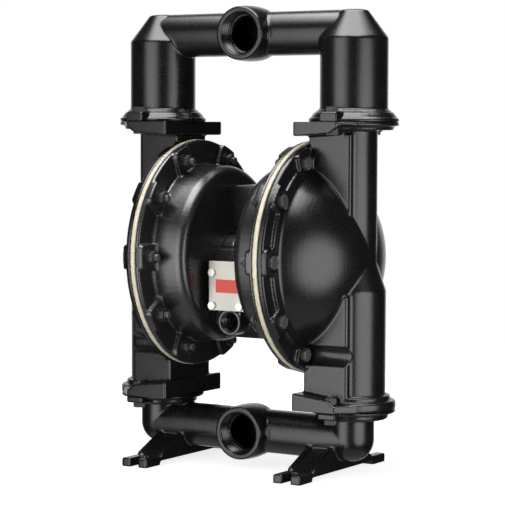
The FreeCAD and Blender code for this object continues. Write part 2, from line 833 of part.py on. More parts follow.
def air_cap():
    back = air_side - air_flange
    flange = turned_x([(back, 0), (air_side, 0), (air_side, flange_radius - fine_edge),
                       (air_side - fine_edge, flange_radius), (back + bar_edge, flange_radius),
                       (back, flange_radius - bar_edge)])
    casting = join([dish(0, air_corner, air_face, air_side), flange] + air_cap_pads())
    hollow = dish(cast_wall, air_corner - cast_wall / 2, air_face + air_floor, air_side - air_mouth)
    mouth = Part.makeCone(air_wall_radius - cast_wall, rim_land, air_mouth,
                          point(air_side - air_mouth, 0, rod_z), X_AXIS)
    cuts = [hollow, mouth] + center_holes()
    for p in chamber_points(nut_face - over):
        cuts.append(rod(m10 + m10_hole, p, X_AXIS, air_boss + 2 * over))
    for p in chamber_points(nut_face - cast_wall):
        cuts.append(rod(nut_room, p, X_AXIS, cast_wall))
    return casting.cut(cuts)


def cap_screw_places():
    high = body_top - cap_screw_top
    low = body_floor + cap_screw_low
    back = body_back - cap_screw_back
    return [(cap_screw_front, high), (back, high), (back, low), (cap_screw_chin - body_front, low)]


# Centre body


def body_outline(x):
    """Side outline of the centre body in the plane at x."""
    return [(x, 0, body_top), (x, body_slope_y, body_slope_z), (x, -body_shelf_y, body_shelf_z),
            (x, -body_front, body_brow_z), (x, -body_front, body_chin_z), (x, -body_floor_front, body_floor),
            (x, body_floor_back, body_floor), (x, body_back, body_chin_z), (x, body_back, body_top)]


def body_casting():
    core = prism(body_outline(-body_half), point(2 * body_half, 0, 0))
    ridges = [e for e in core.Edges if e.BoundBox.XLength > body_half]
    hub_end = body_half + hub_length
    boss = rod(inlet_boss_radius, point(0, -inlet_boss_face, inlet_boss_z), Y_AXIS,
               inlet_boss_face - body_front + body_edge)
    rims = [e for e in boss.Edges if e.BoundBox.YMax < near - inlet_boss_face]
    collar = block(-inlet_boss_radius, inlet_boss_radius, bar_edge - inlet_boss_face, bar_edge - body_front,
                   inlet_boss_z, valve_z - end_cap_half_z - gasket)
    stand = block(fitting_x - fitting_stand, fitting_x + fitting_stand, -fitting_seat, 0,
                  body_shelf_z - fitting_stand_root, fitting_z + fitting_stand_top)
    hubs = rod(hub_radius, point(-hub_end, 0, rod_z), X_AXIS, 2 * hub_end)
    whole = join([core.makeFillet(body_edge, ridges), hubs, boss.makeFillet(cast_edge, rims), collar, stand])
    return whole.cut(block(-inlet_boss_radius, inlet_boss_radius, -inlet_boss_face - over, -body_front,
                           valve_z - valve_half_z - gap, valve_z))


def body_passages():
    """Bores for rod, pilot, main valve, air inlet, exhaust, plug and fitting."""
    inlet = point(0, -inlet_boss_face, inlet_boss_z)
    return [rod(rod_radius + rod_room, point(-clamp_x, 0, rod_z), X_AXIS, 2 * clamp_x),
            rod(pilot_sleeve_radius, point(-clamp_x, pilot_y, pilot_z), X_AXIS, 2 * clamp_x),
            rod(sleeve_radius, point(0, -valve_back, bore_valve_z), Y_AXIS, valve_back + sleeve_end + gap),
            rod(inlet_bore, inlet, Y_AXIS, inlet_bore_depth),
            Part.makeCone(inlet_bore + inlet_chamfer, inlet_bore, inlet_chamfer, inlet, Y_AXIS),
            rod(inlet_throat, inlet, Y_AXIS, inlet_boss_face - inlet_end),
            rod(air_way, point(0, -air_way_y, inlet_boss_z), Z_AXIS, bore_valve_z - inlet_boss_z),
            rod(exhaust_bore, point(0, body_back - exhaust_depth, exhaust_z), Y_AXIS, exhaust_depth + over),
            rod(m10 + fit, point(fitting_x, -fitting_seat - over, fitting_z), Y_AXIS,
                fitting_seat + over - fitting_depth),
            rod(fitting_radius + fitting_room, point(fitting_x, -body_front, fitting_z), Y_AXIS,
                body_front - fitting_seat),
            rod(m10 + fit, point(plug_x, -over, plug_z), Y_AXIS, plug_length + tap_spare + over)]


def center_body():
    cuts = body_passages()
    for side in (-1, 1):
        out = X_AXIS * side
        cuts.append(rod(bush_radius, point(side * (body_half - bush_length), 0, rod_z), out, bush_length))
        cuts.append(rod(seal_radius + gap, point(side * body_half, 0, rod_z), out, hub_length - hub_lip))
        for y, z in cap_screw_places():
            depth = cap_screw_grip + tap_spare
            cuts.append(rod(m10 + fit, point(side * (body_half - depth), y, z), out, depth + over))
    return body_casting().cut(cuts)


def body_gasket():
    return prism(body_outline(body_half), point(gasket, 0, 0)).cut(center_holes())


def rod_bush():
    start = body_half - bush_length
    return turned_x([(start, rod_radius + fit), (start, bush_radius - fit), (body_half, bush_radius - fit),
                     (body_half, rod_radius + fit)])


def rod_seal():
    start = body_half + gap
    end = body_half + hub_length - hub_lip - gap
    return turned_x([(start, rod_radius + gap), (start, seal_radius), (end, seal_radius),
                     (end, rod_radius + gap)])


# Main air valve


def valve_slab(y0, y1, half_x, half_z, radius):
    """A plate across the valve's axis with four rounded corners."""
    slab = block(-half_x, half_x, y0, y1, valve_z - half_z, valve_z + half_z)
    corners = [e for e in slab.Edges if e.BoundBox.XLength + e.BoundBox.ZLength < near]
    return slab.makeFillet(radius, corners)


def end_screw_points(y):
    rows = (end_screw_rise, -end_screw_drop)
    return [point(side * end_screw_x, y, valve_z + dz) for side in (-1, 1) for dz in rows]


def valve_block():
    front = point(0, -valve_front, bore_valve_z)
    cuts = [rod(sleeve_radius, front, Y_AXIS, valve_depth), rod(piston_radius, front, Y_AXIS, piston_room)]
    cuts += [rod(m6 + fit, p, Y_AXIS, end_screw_grip + tap_spare) for p in end_screw_points(-valve_front)]
    return valve_slab(-valve_front, -valve_back, valve_half_x, valve_half_z, block_edge).cut(cuts)


def valve_gasket(y0, radius):
    return valve_slab(y0, y0 + gasket, valve_half_x, valve_half_z, block_edge).cut(
        rod(radius, point(0, y0 - over, bore_valve_z), Y_AXIS, gasket + 2 * over))


def valve_end_gasket():
    start = -cap_back - over
    holes = [rod(m6 + m10_hole, p, Y_AXIS, gasket + 2 * over) for p in end_screw_points(start)]
    return valve_gasket(-cap_back, piston_radius).cut(holes)


def valve_end_cap():
    slab = valve_slab(-cap_front, -cap_back, end_cap_half_x, end_cap_half_z, bar_edge)
    rims = [e for e in slab.Edges if e.BoundBox.YMax < near - cap_front]
    starts = end_screw_points(-cap_front - over)
    holes = [rod(m6 + m10_hole, p, Y_AXIS, end_cap_thick + 2 * over) for p in starts]
    return slab.makeChamfer(end_cap_chamfer, rims).cut(holes)


def valve_end_screws():
    screw = bolt(m6, m6_flats, m6_head, end_cap_thick + gasket + end_screw_grip)
    return [placed(screw, p, Y_AXIS * -1) for p in end_screw_points(-cap_front)]


def label_plate():
    x0 = label_shift_x - label_width / 2
    z0 = valve_z - label_height / 2
    return block(x0, x0 + label_width, -cap_front - label_thick, -cap_front, z0, z0 + label_height)


def valve_sleeve():
    front = piston_room - valve_front
    outer = sleeve_radius - fit
    tube = turned_y([(front, sleeve_bore), (front, outer), (sleeve_end, outer), (sleeve_end, sleeve_bore)],
                    0, bore_valve_z)
    ports = []
    for step in (-1, 0, 1):
        start = point(0, step * sleeve_port_pitch - sleeve_port_y, bore_valve_z - sleeve_radius - over)
        ports.append(rod(sleeve_port, start, Z_AXIS, 2 * (sleeve_radius + over)))
    return tube.cut(ports)


def valve_spool():
    """Piston head, necks and lands of the main valve."""
    front = gap - valve_front
    head_end = front + piston_length
    back = sleeve_end - spool_travel - gap
    head = piston_radius - fit
    land = sleeve_bore - fit
    profile = [(front, 0), (front, head), (head_end, head), (head_end, land)]
    pitch = (back - head_end - spool_land) / spool_necks
    for step in range(spool_necks):
        start = head_end + step * pitch
        profile += [(start + spool_land, land), (start + spool_land, spool_neck),
                    (start + pitch, spool_neck), (start + pitch, land)]
    profile += [(back, land), (back, 0)]
    return turned_y(profile, 0, bore_valve_z)


# Pilot valve


def turned_pilot(profile):
    points = [point(x, pilot_y, pilot_z + r) for x, r in profile]
    return turned(outline(points), point(0, pilot_y, pilot_z), X_AXIS)


def pilot_sleeve():
    half = pilot_guide_start - gap
    outer = pilot_sleeve_radius - fit
    tube = turned_pilot([(-half, pilot_bore), (-half, outer), (half, outer), (half, pilot_bore)])
    ports = []
    for step in (-1, 0, 1):
        start = point(step * pilot_port_x, pilot_y, pilot_z - pilot_sleeve_radius - over)
        ports.append(rod(pilot_port, start, Z_AXIS, 2 * (pilot_sleeve_radius + over)))
    return tube.cut(ports)


def pilot_rod():
    """Pilot piston in one with its two actuator pins."""
    land = pilot_bore - fit
    neck_out = pilot_half - pilot_land
    neck_in = pilot_land / 2
    half = [(neck_in, land), (neck_in, pilot_pin), (neck_out, pilot_pin), (neck_out, land),
            (pilot_half, land), (pilot_half, pilot_pin), (pin_tip, pilot_pin), (pin_tip, 0)]
    return turned_pilot([(-x, r) for x, r in reversed(half)] + half)


def pilot_guide():
    end = air_face + air_floor + pilot_guide_nose
    bore = pilot_pin + fit
    outer = pilot_sleeve_radius - fit
    return turned_pilot([(pilot_guide_start, bore), (pilot_guide_start, outer), (end, outer), (end, bore)])


# Rod, washers and diaphragm


def diaphragm():
    """Clamped rim and flexing ring of a diaphragm, up to its washers."""
    inner = rod_z + washer_radius + membrane_gap
    outer = rod_z + rim_land - membrane_root
    mid = (inner + outer) / 2
    land = rod_z + rim_land
    edge = rod_z + rim_radius
    low = clamp_x - membrane / 2
    high = clamp_x + membrane / 2
    back = Part.Arc(point(low, 0, inner), point(low + convolution, 0, mid), point(low, 0, outer))
    front = Part.Arc(point(high, 0, outer), point(high + convolution, 0, mid), point(high, 0, inner))
    rim = chain([point(low, 0, outer), point(low, 0, land), point(air_side, 0, land),
                 point(air_side, 0, edge - over), point(air_side + over, 0, edge),
                 point(fluid_side - over, 0, edge), point(fluid_side, 0, edge - over),
                 point(fluid_side, 0, land), point(high, 0, land), point(high, 0, outer)])
    hem = Part.LineSegment(point(high, 0, inner), point(low, 0, inner)).toShape()
    ring = turned([back.toShape()] + rim + [front.toShape(), hem], point(0, 0, rod_z), X_AXIS)
    starts = chamber_points(air_side - over)
    return ring.cut([rod(m10 + m10_hole, p, X_AXIS, rim_thickness + 2 * over) for p in starts])


def diaphragm_hub():
    x0 = clamp_x - hub_disc / 2
    x1 = clamp_x + hub_disc / 2
    edge = washer_radius + membrane_gap / 2
    bore = stud_radius + fit
    return turned_x([(x0, bore), (x0, edge - over), (x0 + over, edge), (x1 - over, edge), (x1, edge - over),
                     (x1, bore)])


def washer(flat, face):
    """A bevelled clamp washer: flat side against the diaphragm, face away from it."""
    out = math.copysign(washer_edge, face - flat)
    bore = stud_radius + fit
    return turned_x([(flat, bore), (flat, washer_radius), (flat + out, washer_radius),
                     (face, washer_radius - washer_bevel), (face, bore)])


def washer_bolt():
    length = washer_out - washer_in + stud_depth
    return placed(bolt(stud_radius, m16_flats, m16_head, length), point(washer_out, 0, rod_z), X_AXIS)


def diaphragm_rod():
    shaft = rod(rod_radius, point(-washer_in, 0, rod_z), X_AXIS, 2 * washer_in)
    depth = stud_depth + tap_spare
    holes = [rod(stud_radius + fit, point(side * (washer_in - depth), 0, rod_z), X_AXIS * side, depth + over)
             for side in (-1, 1)]
    return shaft.cut(holes)


# Small fittings


def muffler():
    """Ribbed exhaust muffler with a hollow barrel and a plain stem."""
    stem_start = body_back - exhaust_depth + muffler_seat
    stem = rod(exhaust_bore - fit, point(0, stem_start, exhaust_z), Y_AXIS, exhaust_depth - muffler_seat)
    barrel = rod(muffler_radius - muffler_rib, point(0, body_back, exhaust_z), Y_AXIS, muffler_length)
    count = int(muffler_length / muffler_pitch)
    ribs = []
    for step in range(count + 1):
        start = body_back + step * (muffler_length - muffler_rib) / count
        ribs.append(rod(muffler_radius, point(0, start, exhaust_z), Y_AXIS, muffler_rib))
    hollow = rod(exhaust_bore - muffler_wall, point(0, stem_start - over, exhaust_z), Y_AXIS,
                 exhaust_depth - muffler_seat + over + muffler_length - muffler_end)
    return join([stem, barrel] + ribs).cut(hollow)


def body_plug():
    return placed(bolt(m10, plug_flats, plug_head, plug_length), point(plug_x, 0, plug_z), Y_AXIS * -1)


def air_fitting():
    """A hex fitting with a short nose, drilled through."""
    nose_end = -fitting_seat - fitting_hex - fitting_nose
    length = -nose_end - fitting_depth
    stem = rod(m10, point(fitting_x, -fitting_seat, fitting_z), Y_AXIS, fitting_seat - fitting_depth - gap)
    flats = placed(hexagon(2 * fitting_radius, fitting_hex), point(fitting_x, -fitting_seat, fitting_z),
                   Y_AXIS * -1)
    nose = rod(fitting_nose_radius, point(fitting_x, nose_end, fitting_z), Y_AXIS, fitting_nose + over)
    hole = rod(fitting_hole, point(fitting_x, nose_end - over, fitting_z), Y_AXIS, length + 2 * over)
    return join([stem, flats, nose]).cut(hole)


# Fasteners


def chamber_bolts():
    one = bolt(m10, m10_flats, m10_head, spot_face - nut_face + chamber_nut + stud_end)
    return [placed(one, p, X_AXIS) for p in chamber_points(spot_face)]


def chamber_nuts():
    """Nuts with a round flange under the hexagon."""
    washer_face = rod(nut_flange, ORIGIN, Z_AXIS, nut_flange_thick)
    bore = rod(m10 + fit, point(0, 0, -over), Z_AXIS, chamber_nut + 2 * over)
    one = join([hexagon(m10_flats, chamber_nut), washer_face]).cut(bore)
    return [placed(one, p, X_AXIS * -1) for p in chamber_points(nut_face)]


def cap_screws():
    one = bolt(m10, m10_flats, m10_head, air_floor + gasket + cap_screw_grip)
    return [placed(one, point(air_face + air_floor, y, z), X_AXIS) for y, z in cap_screw_places()]


def joint_bolts_high():
    one = bolt(m10, m10_flats, m10_head, ear_high + nut_seat_high + m10_nut)
    return both_sides([placed(one, p, Z_AXIS) for p in joint_points(split_high + ear_high)])


def joint_nuts_high():
    one = nut(m10, m10_flats, m10_nut)
    return both_sides([placed(one, p, Z_AXIS * -1) for p in joint_points(split_high - nut_seat_high)])


def joint_bolts_low():
    one = bolt(m10, m10_flats, m10_head, ear_low + nut_seat_low + m10_nut + over)
    return both_sides([placed(one, p, Z_AXIS * -1) for p in joint_points(split_low - ear_low)])


def joint_nuts_low():
    one = nut(m10, m10_flats, m10_nut)
    return both_sides([placed(one, p, Z_AXIS) for p in joint_points(split_low + nut_seat_low)])


def nodes():
    """Every node's name and shape."""
    yield "outlet_manifold", outlet_manifold()
    yield "inlet_manifold", inlet_manifold()
    yield "center_body", center_body()
    yield "valve_block", valve_block()
    yield "valve_block_gasket", valve_gasket(-valve_back, sleeve_radius)
    yield "valve_end_gasket", valve_end_gasket()
    yield "valve_end_cap", valve_end_cap()
    yield "valve_end_screws", Part.makeCompound(valve_end_screws())
    yield "label_plate", label_plate()
    yield "valve_sleeve", valve_sleeve()
    yield "valve_spool", valve_spool()
    yield "pilot_sleeve", pilot_sleeve()
    yield "pilot_rod", pilot_rod()
    yield "diaphragm_rod", diaphragm_rod()
    yield "exhaust_muffler", muffler()
    yield "body_plug", body_plug()
    yield "air_fitting", air_fitting()
    yield "joint_bolts_upper", joint_bolts_high()
    yield "joint_nuts_upper", joint_nuts_high()
    yield "joint_bolts_lower", joint_bolts_low()
    yield "joint_nuts_lower", joint_nuts_low()
    yield "inlet_seat_seals", both_sides([seat_seal(split_low)])
    yield "outlet_seat_seals", both_sides([seat_seal(split_high)])
    paired = [("fluid_cap", fluid_cap()), ("air_cap", air_cap()), ("air_cap_gasket", body_gasket()),
              ("air_cap_screws", Part.makeCompound(cap_screws())), ("rod_bush", rod_bush()),
              ("rod_seal", rod_seal()), ("pilot_guide", pilot_guide()), ("diaphragm", diaphragm()),
              ("diaphragm_hub", diaphragm_hub()),
              ("inner_washer", washer(washer_in + washer_thick, washer_in)),
              ("outer_washer", washer(washer_out - washer_thick, washer_out)),
              ("washer_bolt", washer_bolt()),
              ("chamber_bolts", Part.makeCompound(chamber_bolts())),
              ("chamber_nuts", Part.makeCompound(chamber_nuts())),
              ("inlet_seat", seat(seat_low_top)), ("outlet_seat", seat(seat_high_top)),
              ("inlet_ball", ball(seat_low_top)), ("outlet_ball", ball(seat_high_top))]
    for name, shape in paired:
        yield name + "_right", shape
        yield name + "_left", mirrored(shape)


os.makedirs("parts", exist_ok=True)
for name, shape in nodes():
    print(name, "solids", len(shape.Solids), "volume", round(shape.Volume), "valid", shape.isValid())
    shape.exportStep("parts/" + name + ".step")
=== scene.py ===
import json
import logging
import math
from dataclasses import dataclass
from enum import Enum

import bmesh
import bpy
from mathutils import Matrix, Vector

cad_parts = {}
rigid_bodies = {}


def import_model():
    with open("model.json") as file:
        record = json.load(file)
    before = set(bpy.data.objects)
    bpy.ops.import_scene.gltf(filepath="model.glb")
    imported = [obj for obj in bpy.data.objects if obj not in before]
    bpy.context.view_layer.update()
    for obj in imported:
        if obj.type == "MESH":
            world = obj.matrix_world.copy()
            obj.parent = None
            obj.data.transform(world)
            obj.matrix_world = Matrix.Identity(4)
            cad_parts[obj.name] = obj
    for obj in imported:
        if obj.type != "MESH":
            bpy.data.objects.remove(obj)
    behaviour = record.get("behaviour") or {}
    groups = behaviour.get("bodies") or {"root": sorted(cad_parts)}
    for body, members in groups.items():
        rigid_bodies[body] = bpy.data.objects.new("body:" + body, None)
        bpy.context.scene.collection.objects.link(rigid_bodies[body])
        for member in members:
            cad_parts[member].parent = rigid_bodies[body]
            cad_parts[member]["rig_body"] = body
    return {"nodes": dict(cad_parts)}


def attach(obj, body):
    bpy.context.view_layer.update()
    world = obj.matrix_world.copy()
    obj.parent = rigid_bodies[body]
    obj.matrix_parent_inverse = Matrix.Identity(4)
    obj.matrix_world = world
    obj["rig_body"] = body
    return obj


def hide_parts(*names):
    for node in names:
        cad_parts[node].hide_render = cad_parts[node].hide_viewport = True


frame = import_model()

log = logging.getLogger("pump")
Point = tuple[float, float, float]
SIDES = {"right": 1, "left": -1}
MM_PER_M = 1000.0
# Corners that are nearer to each other than this, in metres, are one corner.
WELD = 1e-6
# The standard curve from an sRGB code to light: where its straight foot ends, and the numbers of its two parts.
SRGB_FOOT, SRGB_SLOPE, SRGB_SHIFT, SRGB_POWER = 0.04045, 12.92, 0.055, 2.4
# The way into every hole that faces the pump's front.
TO_BACK = Vector((0.0, 1.0, 0.0))


# Small helpers


def linear(code: str) -> tuple[float, float, float, float]:
    """Turn an sRGB hex colour into linear values.

    Args:
        code: Six hex digits, such as "e7dfc1".

    Returns:
        Red, green, blue and an alpha of one.
    """
    parts = [int(code[k:k + 2], 16) / 255 for k in (0, 2, 4)]
    red, green, blue = (c / SRGB_SLOPE if c <= SRGB_FOOT
                        else ((c + SRGB_SHIFT) / (1 + SRGB_SHIFT)) ** SRGB_POWER for c in parts)
    return red, green, blue, 1.0


def add_node(tree: bpy.types.NodeTree, kind: str, inputs: dict[str | int, object] | None = None,
             **settings: object) -> bpy.types.Node:
    """Add one shader node, set it up and link what feeds it.

    Args:
        tree: Node tree of a material or of the world.
        kind: The node's type, such as ShaderNodeTexNoise.
        inputs: Socket names or places, each with its value or the socket that feeds it.
        settings: The node's own options, such as operation.

    Returns:
        The new node.
    """
    node = tree.nodes.new(kind)
    for name, value in settings.items():
        setattr(node, name, value)
    for name, value in (inputs or {}).items():
        if isinstance(value, bpy.types.NodeSocket):
            tree.links.new(value, node.inputs[name])
        else:
            node.inputs[name].default_value = value
    return node


def per_mm(size: float) -> float:
    """Noise scale on Object coordinates, in metres, for marks of this size in millimetres."""
    return MM_PER_M / size


def outwards(azimuth: float, elevation: float) -> Vector:
    """Find the way out from the pump at an azimuth and an elevation.

    Args:
        azimuth: Degrees from -Y towards +X.
        elevation: Degrees above level, less than zero below it.

    Returns:
        A vector one long.
    """
    a, e = math.radians(azimuth), math.radians(elevation)
    return Vector((math.sin(a) * math.cos(e), -math.cos(a) * math.cos(e), math.sin(e)))


def node_object(name: str) -> bpy.types.Object:
    """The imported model's object for a node."""
    return frame["nodes"][name]


def take(piece: bpy.types.Object) -> None:
    """Make one object the only selected one, and active."""
    bpy.ops.object.select_all(action="DESELECT")
    piece.select_set(True)
    bpy.context.view_layer.objects.active = piece


def modify(piece: bpy.types.Object, kind: str, **settings: object) -> None:
    """Add a modifier to a piece and apply it.

    Args:
        piece: The piece to change.
        kind: The modifier's type, such as REMESH.
        settings: The modifier's own options.
    """
    take(piece)
    bpy.ops.object.modifier_add(type=kind)
    modifier = piece.modifiers[-1]
    for name, value in settings.items():
        setattr(modifier, name, value)
    bpy.ops.object.modifier_apply(modifier=modifier.name)


def weld(piece: bpy.types.Object, ends: int = 0) -> None:
    """Merge a piece's doubled corners and turn its faces outwards.

    Args:
        piece: The piece to mend.
        ends: Corners of its open ends, which are then closed, or zero where it has none.
    """
    take(piece)
    bpy.ops.object.mode_set(mode="EDIT")
    bpy.ops.mesh.select_all(action="SELECT")
    bpy.ops.mesh.remove_doubles(threshold=WELD)
    if ends:
        bpy.ops.mesh.fill_holes(sides=ends)
    bpy.ops.mesh.normals_make_consistent(inside=False)
    bpy.ops.object.mode_set(mode="OBJECT")


def copied(name: str, node: str) -> bpy.types.Object:
    """Copy a node's shape into a new piece, with its doubled corners merged.

    Args:
        name: The new piece's name.
        node: The node to copy.

    Returns:
        The new piece, without materials.
    """
    piece = bpy.data.objects.new(name, node_object(node).data.copy())
    bpy.context.collection.objects.link(piece)
    piece.data.materials.clear()
    weld(piece)
    return piece


def solids_of(node: str) -> list[tuple[Vector, Vector]]:
    """Find the box of each separate solid in a node.

    Args:
        node: The node's name.

    Returns:
        The lowest and highest corner of each solid, in metres.
    """
    mesh = bmesh.new()
    mesh.from_mesh(node_object(node).data)
    bmesh.ops.remove_doubles(mesh, verts=mesh.verts, dist=WELD)
    boxes = []
    seen: set[bmesh.types.BMVert] = set()
    for first in mesh.verts:
        if first in seen:
            continue
        seen.add(first)
        queue, corners = [first], []
        while queue:
            vert = queue.pop()
            corners.append(vert.co.copy())
            for edge in vert.link_edges:
                other = edge.other_vert(vert)
                if other not in seen:
                    seen.add(other)
                    queue.append(other)
        boxes.append((Vector(min(c[k] for c in corners) for k in range(3)),
                      Vector(max(c[k] for c in corners) for k in range(3))))
    mesh.free()
    return boxes


# Finishes

# Values of the slow noise between which a finish goes from its base colour to its dusty one.
TINT_FROM, TINT_TO = 0.35, 0.75
# Values of the fine noise between which it goes from its least roughness to its most.
GLOSS_FROM, GLOSS_TO = 0.3, 0.7
# Radius of a pit as a share of its cell, and its depth as a multiple of the grain's height.
PIT_SHARE, PIT_DEPTH = 0.16, 2.5


@dataclass(frozen=True)
class Paint:
    """A coated surface: colour that drifts a little, gloss that varies, and a raised grain.

    Attributes:
        name: The coating and what it lies on.
        base: sRGB hex of the coating.
        dusty: sRGB hex where it is thinner or dusty.
        gloss: Least and most roughness.
        grain: Size of the surface grain in millimetres.
        relief: Height of the grain in millimetres.
        slot: The part's material slot that the finish belongs to. Not used.
        swell: Size of the slow waves in millimetres.
        swell_relief: Height of the slow waves in millimetres.
        pits: Spacing of small pits in millimetres, or zero for none.
        metallic: One for bare metal.
        ior: Index of refraction of the coating, left alone on bare metal.
    """

    name: str
    base: str
    dusty: str
    gloss: tuple[float, float]
    grain: float
    relief: float
    slot: str
    swell: float = 30.0
    swell_relief: float = 0.0
    pits: float = 0.0
    metallic: float = 0.0
    ior: float = 1.5

    def material(self) -> bpy.types.Material:
        """Build the node material.

        Returns:
            The finished material.
        """
        made = bpy.data.materials.new(self.name)
        made.use_nodes = True
        tree = made.node_tree
        tree.nodes.clear()
        spot = add_node(tree, "ShaderNodeTexCoord").outputs["Object"]
        grain = add_node(tree, "ShaderNodeTexNoise", {"Vector": spot, "Scale": per_mm(self.grain),
                                                      "Detail": 3.0, "Roughness": 0.55})
        swell = add_node(tree, "ShaderNodeTexNoise", {"Vector": spot, "Scale": per_mm(self.swell),
                                                      "Detail": 2.0})
        tint = add_node(tree, "ShaderNodeMapRange", {"Value": swell.outputs["Fac"], "From Min": TINT_FROM,
                                                     "From Max": TINT_TO})
        # Sockets 0, 6 and 7 are the mix node's share and its two colours, and its output 2 is a colour.
        colour = add_node(tree, "ShaderNodeMix", {0: tint.outputs["Result"], 6: linear(self.base),
                                                  7: linear(self.dusty)}, data_type="RGBA")
        gloss = add_node(tree, "ShaderNodeMapRange", {"Value": grain.outputs["Fac"], "From Min": GLOSS_FROM,
                                                      "From Max": GLOSS_TO, "To Min": self.gloss[0],
                                                      "To Max": self.gloss[1]})
        height = add_node(tree, "ShaderNodeMath", {0: grain.outputs["Fac"], 1: self.relief / MM_PER_M},
                          operation="MULTIPLY")
        waves = add_node(tree, "ShaderNodeMath", {0: swell.outputs["Fac"], 1: self.swell_relief / MM_PER_M,
                                                  2: height.outputs[0]}, operation="MULTIPLY_ADD")
        top = waves
        if self.pits:
            cells = add_node(tree, "ShaderNodeTexVoronoi", {"Vector": spot, "Scale": per_mm(self.pits)})
            hollow = add_node(tree, "ShaderNodeMapRange", {"Value": cells.outputs["Distance"],
                                                           "From Max": PIT_SHARE,
                                                           "To Min": -PIT_DEPTH * self.relief / MM_PER_M,
                                                           "To Max": 0.0})
            top = add_node(tree, "ShaderNodeMath", {0: waves.outputs[0], 1: hollow.outputs["Result"]},
                           operation="ADD")
        bump = add_node(tree, "ShaderNodeBump", {"Height": top.outputs[0], "Strength": 1.0, "Distance": 1.0})
        values = {"Base Color": colour.outputs[2], "Roughness": gloss.outputs["Result"],
                  "Normal": bump.outputs["Normal"], "Metallic": self.metallic}
        if not self.metallic:
            values["IOR"] = self.ior
        shader = add_node(tree, "ShaderNodeBsdfPrincipled", values)
        add_node(tree, "ShaderNodeOutputMaterial", {"Surface": shader.outputs["BSDF"]})
        return made


class Finish(Enum):
    """Every finish on the pump, named for the real material.

    The grain of these surfaces is a few tenths of a millimetre, which is too fine to show from where the
    photograph was taken, so it is drawn 1.6 to 2.4 mm coarse.
    """

    # Semi-gloss black enamel sprayed over sand-cast iron: its dim highlights are broken up by grain and pits.
    CAST_IRON = Paint("black enamel on sand-cast iron", "0c0c0d", "141414", (0.22, 0.30), 2.4, 0.012,
                      slot="cast_black", swell=26.0, swell_relief=0.14, pits=9.0)
    # The same enamel on die-cast aluminium: smoother, so its highlights are soft but clean.
    CAST_ALUMINIUM = Paint("black enamel on cast aluminium", "161617", "1e1e1e", (0.25, 0.33), 2.2, 0.012,
                           slot="cast_black_air", swell=40.0, swell_relief=0.10, ior=1.72)
    # Phosphated steel: dark gray and rough, a little paler than the enamel round it.
    GRAY_STEEL = Paint("gray phosphated steel", "5b5a57", "73706a", (0.36, 0.50), 1.8, 0.03,
                       slot="fastener_black", metallic=0.5)
    # Steel blacked and oiled: nearly as dark as the enamel, so only its edges and thread crests show.
    BLACK_STEEL = Paint("oiled black steel", "2a2a28", "3a3936", (0.36, 0.50), 1.8, 0.03,
                        slot="fastener_black", metallic=0.3)
    # Bare satin aluminium plate: pale, a little warm, with no sharp reflection.
    SATIN_ALUMINIUM = Paint("satin aluminium plate", "c1beb5", "b7b4aa", (0.42, 0.50), 1.6, 0.004,
                            slot="end_plate", metallic=0.6)
    # Zinc-plated screws: brighter than the plate that they hold.
    ZINC_STEEL = Paint("bright zinc-plated steel", "f0efec", "e4e3df", (0.34, 0.42), 1.6, 0.002,
                       slot="bright_steel", metallic=0.7)
    # Ground and polished shafts: near-mirror, with the faintest unevenness.
    GROUND_STEEL = Paint("ground stainless steel", "c9c9c6", "bdbdba", (0.16, 0.24), 1.6, 0.001,
                         slot="bright_steel", metallic=1.0)
    # Baked enamel on a thin plate: flat, even red with a soft shine.
    RED_ENAMEL = Paint("red enamel on thin plate", "ee4c3d", "ea4e40", (0.34, 0.40), 2.0, 0.002,
                       slot="label_red")
    # Moulded thermoplastic elastomer: cream, waxy and almost matt.
    CREAM_ELASTOMER = Paint("cream thermoplastic elastomer", "f2ebd6", "e2d8b8", (0.48, 0.60), 2.2, 0.02,
                            slot="cream_elastomer", swell=14.0, swell_relief=0.1)
    # Compressed fibre sheet: flat black edges that catch no light.
    SHEET_GASKET = Paint("black fibre gasket sheet", "121212", "1c1b1a", (0.65, 0.80), 1.6, 0.03,
                         slot="gasket_sheet")
    # Turned brass: warm yellow with a slightly dulled shine.
    BRASS = Paint("turned brass", "caa14e", "b08a3f", (0.24, 0.36), 1.8, 0.004, slot="brass", metallic=1.0)
    # Injection-moulded polypropylene: deep black and softly shiny.
    MOULDED_PLASTIC = Paint("black moulded polypropylene", "141414", "1c1c1c", (0.40, 0.52), 1.8, 0.01,
                            slot="muffler_plastic")
    # Machined acetal: white and smooth, like bearing plastic fresh from the lathe.
    ACETAL = Paint("white machined acetal", "e8e6df", "dedbd2", (0.30, 0.40), 1.8, 0.004,
                   slot="bearing_plastic")
    # Moulded nitrile: matt black.
    NITRILE = Paint("black nitrile rubber", "0e0e0e", "171717", (0.55, 0.68), 1.8, 0.01, slot="seal_rubber")


